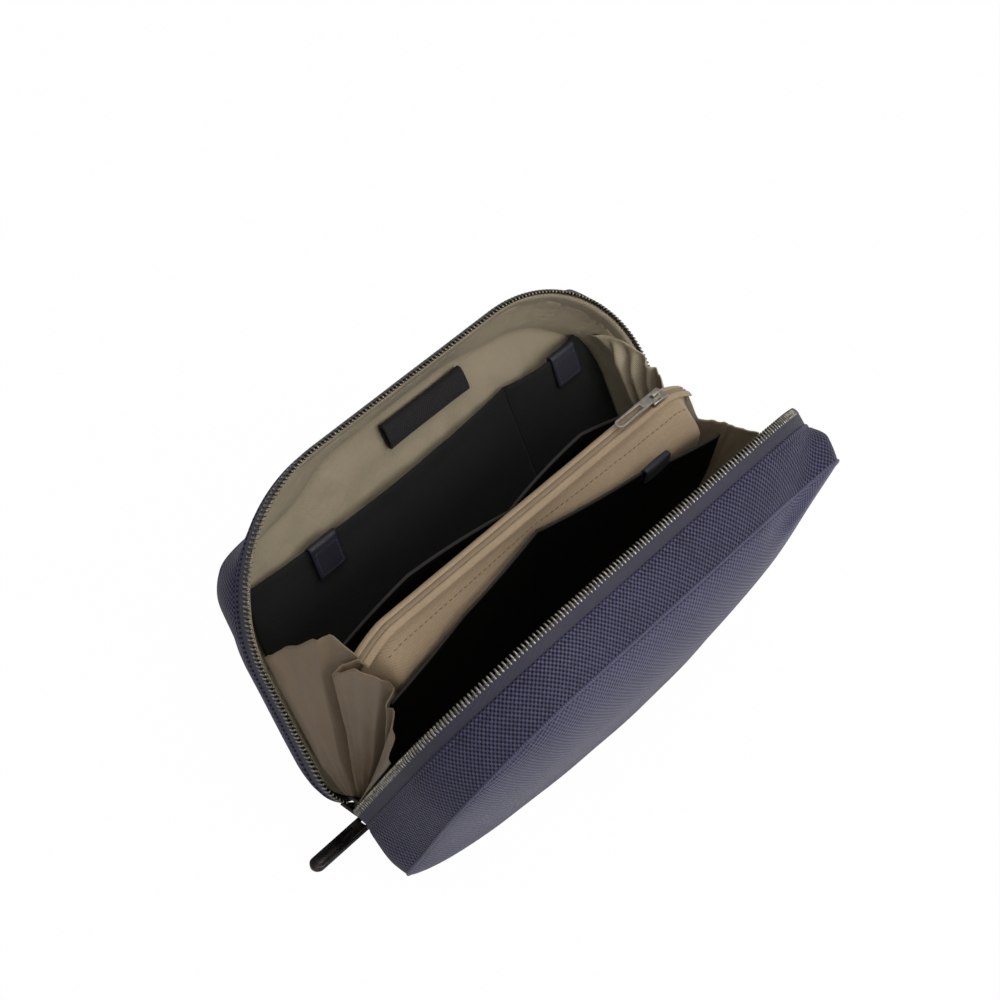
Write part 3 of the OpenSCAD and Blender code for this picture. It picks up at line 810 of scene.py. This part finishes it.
def zip_height(x):
    """The divider's zip runs level and drops towards its ends, where the pleats hold it."""
    return divider_h - 8.0 * max(0.0, (abs(x) - 86) / 18) ** 1.6


slip_h, slip_half, slip_seam_x = 88.0, 105.0, -5.0
rear_slip_shape = (14, 4, 6.6, 5, 11)
front_slip_shape = (-20, -2, -8, -4, -24)


def slip_depth(x, shape):
    """How far a slip panel's top edge stands off the divider: two bellies with a seam between them."""
    left_y, left_belly, seam_off, right_belly, right_y = shape
    if x < slip_seam_x:
        share = max(0.0, (x + slip_half) / (slip_seam_x + slip_half))
        return left_y + (seam_off - left_y) * share + left_belly * hump(share) ** 0.8
    share = min(1.0, (x - slip_seam_x) / (slip_half - slip_seam_x))
    return seam_off + (right_y - seam_off) * share + right_belly * max(0.0, hump(share)) ** 0.8


def divider_spot(side):
    """Upright behind, and bulged forward under the zip in front; both walls close at the ends."""
    def spot(u, v):
        x = (u - 0.5) * divider_l * (1 - 0.05 * (1 - v) ** 2)
        z = wall_foot + v * (zip_height(x) - wall_foot)
        y = 0.5 + divider_half * v ** 0.8
        if side < 0:
            bulge = 0.8 * abs(slip_depth(x, front_slip_shape)) * (z / slip_h) ** 0.75 - y
            y += max(0.0, bulge) * ease(1.0, 0.8, v)
        loose = 0.7 * ripple(x, z, 3 + side, 24) + 0.4 * ripple(x, z, 7 * side, 8)
        closing = 1 - 0.9 * ease(94, 104, abs(x))
        return Vector((x, side * closing * (y + loose * hump(v)), z))
    return spot


for side, wall_name, cut_l, cut_area in ((1, "rear", 0.082, 0.01637), (-1, "front", 0.088, 0.01756)):
    wall_bm = cloth_grid(110, 44, divider_spot(side), divider_l, wall_cut)
    wall = piece("divider_" + wall_name + "_cloth", wall_bm, place_spine, tan_cloth, "spine",
                 thickness=0.5, offset=0.0)
    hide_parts("divider_" + wall_name + "_wall")

# Divider zip: woven tan tapes with a nylon coil between them.
# The tapes are sewn on top of the walls, the front one with a row of stitches that shows.
coil_nylon = cloth_material("tan_coil", (0.14, 0.1, 0.06), (0.36, 0.265, 0.17), 3000, 0.05, 0.42, 0.05)
divider_thread = cloth_material("tan_thread", (0.09, 0.063, 0.037), (0.2, 0.145, 0.09), 5000, 0.05, 0.6, 0.1)
coil_pitch, coil_half = 1.35, 1.25
edge_y, edge_w = 1.45, 3.1
row_count, row_stitch = 62, (1.6, 0.3, 0.3)


def coil_spot(u, v):
    x = (u - 0.5) * divider_l
    turn = math.pi * v
    radius = 1.0 + 0.05 * math.sin(2 * math.pi * x / coil_pitch)
    z = zip_height(x) + 0.1 + 0.9 * math.sin(turn) ** 0.6 * radius
    return Vector((x, -coil_half * math.cos(turn), z))


coil = piece("divider_coil", cloth_grid(920, 10, coil_spot, divider_l, 6), place_spine, coil_nylon, "spine",
             thickness=0.3)
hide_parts("divider_zip_coil")


def zip_edge_spot(side):
    def spot(u, v):
        x = (u - 0.5) * divider_l
        y = side * (edge_y + edge_w * v)
        drop = 2.4 * max(0.0, v - 0.4) ** 1.5 + 0.5 * max(0.0, 1 - v / 0.15)
        return Vector((x, y, zip_height(x) + 0.75 - drop + 0.12 * ripple(x, y, 3, 9)))
    return spot


tape_bm = cloth_grid(160, 10, zip_edge_spot(1), divider_l, 4)
other_bm = cloth_grid(160, 10, zip_edge_spot(-1), divider_l, 4)
tape_mesh = bpy.data.meshes.new("tape_half")
other_bm.to_mesh(tape_mesh)
other_bm.free()
tape_bm.from_mesh(tape_mesh)
bpy.data.meshes.remove(tape_mesh)
divider_tape = piece("divider_tapes", tape_bm, place_spine, tan_cloth, "spine", thickness=0.6,
                     offset=0.0)
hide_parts("divider_zip_tape")

stitch_bm = bmesh.new()
stitch_bm.loops.layers.uv.new("UVMap")
for number in range(row_count):
    spot = divider_spot(-1)(0.05 + 0.9 * number / (row_count - 1), 0.93)
    made = bmesh.ops.create_cube(stitch_bm, size=1)["verts"]
    bmesh.ops.scale(stitch_bm, vec=row_stitch, verts=made)
    bmesh.ops.translate(stitch_bm, vec=spot + Vector((0, -0.3, 0.1)), verts=made)
piece("divider_stitch_row", stitch_bm, place_spine, divider_thread, "spine")

# Slip panels: black stretch cloth on both sides of the divider, hung between the end pleats.
# A seam near the middle draws each one to the divider, so it opens into two shallow pouches.
# Black knit made far darker than the pockets' black stretch: black cloth with painted shade for the shade
# between the halves.
slip_cloth_painted_shade = cloth_material("black_knit_painted_shade", (0.0005, 0.0005, 0.0005), (0.0032, 0.0032, 0.003), 2600, 0.12, 0.85,
                            0.0, specular=0.05, hem=(0.0788, (0.035, 0.032, 0.029)))
slip_l, slip_cut = 212.0, 80.0


def slip_spot(shape, top_left, top_seam, top_right):
    def spot(u, v):
        x = (2 * u - 1) * slip_half
        y = slip_depth(x, shape)
        if x < slip_seam_x:
            share = (x + slip_half) / (slip_seam_x + slip_half)
            top = top_left + (top_seam - top_left) * min(1, share * 2.2)
        else:
            share = (x - slip_seam_x) / (slip_half - slip_seam_x)
            top = top_seam + (top_right - top_seam) * max(0.0, share * 2 - 1)
        z = wall_foot + v * (top - wall_foot)
        lean = (z / slip_h) ** 0.75
        loose = 0.5 * ripple(x, z, 21, 20) * hump(v)
        hem = 0.25 if v > 0.96 else 0.0
        return Vector((x * (1 - 0.06 * (1 - v) ** 2), y * lean + math.copysign(loose * lean + hem, y), z))
    return spot


for part, shape, tops, cut, cut_area in (
    ("rear", rear_slip_shape, (80, 89, 72), (0.212, 0.082), 0.0154),
    ("front", front_slip_shape, (74, 87, 69), (0.216, 0.08), 0.015),
):
    slip = piece(part + "_slip_cloth_painted_shade", cloth_grid(120, 46, slip_spot(shape, *tops), slip_l, slip_cut),
                 place_spine, slip_cloth_painted_shade, "spine", thickness=0.9, offset=0.0)
    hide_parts(part + "_slip_panel")
leather_tab("front_slip_tab_leather", "front_slip_tab", place_spine, "spine",
            (-21.5, 87.0), (-18.2, 72.5), 58, 1)

# Gussets: tan nylon pleats at both ends, sewn to the zip facings and to the divider's ends.
# They fan out from the hinge. Each fold has an angle and a top radius about it, and its place along the
# pouch at the top, the middle and the foot.
# The left gussets' cloth is a darker copy of the tan nylon: painted shade for their dim recess.
gusset_cloth_painted_shade = cloth_material("tan_gusset_painted_shade", (0.105, 0.075, 0.0455), (0.24, 0.172, 0.108), 3000, 0.1, 0.5,
                              0.12, creases=1.0)
folds = {
    ("left", "back"): (
        (29.2, 82, 118.5, 121.5, 114), (26, 84, 117.5, 121, 114), (18, 88, 114.5, 119, 114),
        (10, 94, 111.2, 116, 114.4), (9.4, 94.5, 111, 116, 114.4), (8.9, 95, 109, 114, 112),
        (7.6, 96, 107, 108, 108), (0.5, 88, 103.9, 102.5, 106),
    ),
    ("left", "front"): (
        (-0.5, 87, 103.9, 102.5, 106), (3.0, 85, 109, 107, 108), (3.7, 83, 114.2, 113.2, 113.6),
        (3.2, 83, 114.4, 113.4, 113.6), (2.4, 84, 113, 112, 112.6), (-3, 89.5, 110.2, 110.4, 111.5),
        (-9.4, 89, 107, 107.4, 110.6), (-9.9, 88.5, 106.4, 107, 110.4), (-10.6, 86, 103.5, 103, 108),
        (-12, 82, 102, 101, 107), (-13.6, 78, 108.6, 104, 108.4), (-14.1, 77.5, 109, 104, 108.4),
        (-15, 75, 106, 102.5, 108), (-20, 72, 112, 112, 110.4), (-27, 68, 119, 120, 114),
    ),
    ("right", "back"): (
        (37.5, 99, 120, 120, 113), (36.4, 97.5, 119, 119, 112), (34.2, 95, 112, 111, 110),
        (32, 91.5, 119, 119, 111), (29.4, 87, 112.5, 111, 110), (27.2, 84, 119, 118.5, 111),
        (24, 80, 113.5, 112, 110), (21.5, 77, 118.5, 117, 111), (16.3, 77, 114, 114.5, 111),
        (14, 70, 111.5, 112.5, 110), (8, 70, 107.5, 109, 108.5), (0.4, 86, 103.9, 103.2, 106),
    ),
    ("right", "front"): (
        (-0.4, 86, 103.9, 103, 106), (-3.7, 65, 110, 109, 108.5), (-10, 67.5, 112, 112, 109.5),
        (-15, 71.5, 112.5, 113, 110), (-16, 73.5, 111, 111, 108), (-17, 72, 113, 113.5, 110),
        (-23, 73, 116, 117.5, 112), (-27.4, 70, 119, 120, 114),
    ),
}
gusset_foot, gusset_reach = -4.0, 85.0
gusset_cuts = {("left", "back"): (0.06, 0.1, 0.0029), ("left", "front"): (0.09, 0.1, 0.0044),
               ("right", "back"): (0.1, 0.102, 0.005), ("right", "front"): (0.05, 0.09, 0.0021)}


def gusset_stations(corners):
    """Places across a gusset, closer together than 2 mm, with a place on every fold."""
    places = [corners[0]]
    for first, second in zip(corners, corners[1:]):
        span = math.hypot(math.radians(second[0] - first[0]) * gusset_reach, second[2] - first[2])
        steps = max(1, int(span / 2) + 1)
        for step in range(1, steps + 1):
            share = step / steps
            soft = (share, *[ease(0, 1, share)] * 4)
            places.append(tuple(a + (b - a) * part for a, b, part in zip(first, second, soft)))
    return places


def gusset_spot(places, end):
    def spot(u, v):
        angle, top, x_top, x_mid, x_foot = places[round(u * (len(places) - 1))]
        radius = gusset_foot + v * (top - gusset_foot)
        turn = math.radians(angle)
        x = x_foot * (1 - v) * (1 - 2 * v) + x_mid * 4 * v * (1 - v) + x_top * v * (2 * v - 1)
        billow = (1.3 * ripple(angle * 1.6, radius, 31 * end, 26)
                  + 0.5 * ripple(angle * 1.6, radius, 17 * end, 7))
        depth = radius * math.sin(abs(turn) - open_angle)
        height = radius * math.cos(abs(turn) - open_angle)
        taper = min(1.0, max(0.0, (depth - taper_y) / (seam_y(height) - taper_y)))
        level = max(2.5, height + sag(body_w / 2, height))
        widest = half_width(level, 4.6 + 2.2 * ease(9, 15, depth), taper)
        x = min(x + billow * hump(min(1.0, v * 1.2)) ** 0.5, max(widest, x_foot - 3))
        x += (widest - x) * ease(0.86, 1.0, v) * ease(22, 26, abs(angle))
        radius += 0.8 * v ** 6 * ripple(angle * 3, 5, 13 * end, 7)
        return Vector((end * x, radius * math.sin(turn), radius * math.cos(turn)))
    return spot


for end, end_name in ((-1, "left"), (1, "right")):
    for half, part in (("back", "rear"), ("front", "front")):
        places = gusset_stations(folds[end_name, half])
        gusset_bm = cloth_grid(len(places) - 1, 44, gusset_spot(places, end), 60, 80)
        # Left pair: painted shade, a darker copy of the tan nylon; right pair: the lining's cloth.
        gusset = piece("gusset_" + end_name + "_" + part + "_cloth", gusset_bm, place_spine,
                       gusset_cloth_painted_shade if end < 0 else lining_cloth, None, thickness=0.5, offset=0.0,
                       even=False)
        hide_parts("gusset_" + end_name + "_" + part)
        cut_w, cut_l, cut_area = gusset_cuts[end_name, half]
        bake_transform(gusset)

# Sliders and pullers: die-cast zinc, black nickel on the main zip and plain nickel on the divider's.
# The main puller is a rounded plate with an inset and a pin through its fork. The other castings are the
# solids themselves with rounded edges.
black_nickel = metal_material("black_nickel", (0.045, 0.04, 0.038), (0.08, 0.073, 0.068), 0.14, 120)
nickel = metal_material("plain_nickel", (0.42, 0.39, 0.34), (0.6, 0.57, 0.5), 0.2, 500)


def rounded_casting(name, node, material, body, edge):
    """Copy of a node's solid with its sharp edges rounded, as casting and tumbling leave them."""
    bm = bmesh.new()
    bm.from_mesh(nodes[node].data)
    bmesh.ops.remove_doubles(bm, verts=bm.verts, dist=1e-6)
    bmesh.ops.dissolve_limit(bm, angle_limit=math.radians(1), verts=bm.verts, edges=bm.edges)
    casting = piece(name, bm, Matrix.Identity(4), material, body)
    rounding = casting.modifiers.new("rounding", "BEVEL")
    rounding.width = edge * MM
    rounding.segments = 3
    rounding.limit_method = "ANGLE"
    rounding.angle_limit = math.radians(35)
    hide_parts(node)


rounded_casting("main_slider_casting", "main_slider", black_nickel, "spine", 0.35)
place_pull = Matrix.Translation(joint_at["main_pull_swing"]) @ Matrix.Scale(MM, 4)
pull_l, pull_w, pull_t = 35.0, 7.0, 3.0
fork_end, fork_half, fork_depth = 1.4, 1.9, 4.2
pin_r, pin_l = 0.7, 5.4
inlay_half, inlay_rim, inlay_start = 2.0, 1.5, -9.1


def rounded_plate(outline, low, high, edge, steps):
    """Flat plate from an outline in millimetres, with all its edges rounded."""
    bm = bmesh.new()
    face = bm.faces.new([bm.verts.new((x, y, low)) for x, y in outline])
    grown = bmesh.ops.extrude_face_region(bm, geom=[face])["geom"]
    lifted = [item for item in grown if isinstance(item, bmesh.types.BMVert)]
    bmesh.ops.translate(bm, vec=(0, 0, high - low), verts=lifted)
    bmesh.ops.recalc_face_normals(bm, faces=bm.faces)
    sharp = [one for one in bm.edges if one.calc_face_angle(0) > math.radians(35)]
    bmesh.ops.bevel(bm, geom=sharp, offset=edge, segments=steps, profile=0.5, affect="EDGES", material=-1)
    return bm


def round_end(middle, radius, steps):
    """Half circle of points round the far end of a plate."""
    turns = [math.pi * step / steps for step in range(steps + 1)]
    return [(middle - math.sin(turn) * radius, math.cos(turn) * radius) for turn in turns]


tip_x = -pull_l + pull_w / 2
fork = [(fork_end, -pull_w / 2), (fork_end, -fork_half), (-fork_depth, -fork_half),
        (-fork_depth, fork_half), (fork_end, fork_half), (fork_end, pull_w / 2)]
pull_bm = rounded_plate(round_end(tip_x, pull_w / 2, 16) + fork, -pull_t / 2, pull_t / 2, 0.75, 4)
bmesh.ops.create_cone(pull_bm, cap_ends=True, segments=20, radius1=pin_r, radius2=pin_r, depth=pin_l,
                      matrix=Matrix.Rotation(math.pi / 2, 4, "X"))
pull = piece("main_pull_casting", pull_bm, place_pull, black_nickel, "main_pull")
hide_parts("main_pull_frame")
inlay_outline = round_end(tip_x + inlay_rim, inlay_half, 12)
inlay_outline += [(inlay_start, -inlay_half), (inlay_start, inlay_half)]
inlay_bm = rounded_plate(inlay_outline, 0.6, 1.62, 0.2, 3)
inlay = piece("main_pull_inset", inlay_bm, place_pull, black_nickel, "main_pull")
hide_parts("main_pull_inlay")
rounded_casting("divider_slider_casting", "divider_slider", nickel, "divider_slider", 0.25)
rounded_casting("divider_pull_casting", "divider_pull", nickel, "divider_pull", 0.25)

bpy.context.view_layer.update()
